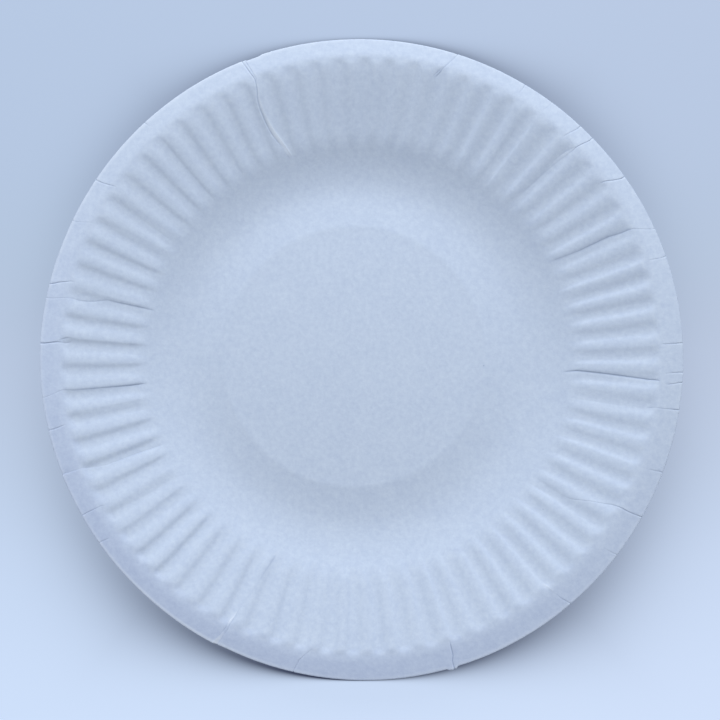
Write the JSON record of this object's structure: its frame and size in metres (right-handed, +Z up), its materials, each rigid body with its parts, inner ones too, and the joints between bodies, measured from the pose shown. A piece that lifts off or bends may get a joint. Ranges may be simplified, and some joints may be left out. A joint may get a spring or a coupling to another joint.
{
  "type": "paper plate",
  "caption": "Round shallow disposable plate pressed from white paper, with a flat centre, a fluted sloping wall and a narrow drooping rim.",
  "frame": {"origin": "on the plate's axis, at the level of the flat ring under its base", "axes": "+Z up along the plate's axis, out of the side that holds food; +Y is the top of the picture"},
  "size_m": [0.23, 0.23, 0.0151],
  "materials": {
    "paper": "uncoated, slightly mottled, matte"
  },
  "bodies": {
    "root": {"plate": "paper"}
  },
  "joints": []
}
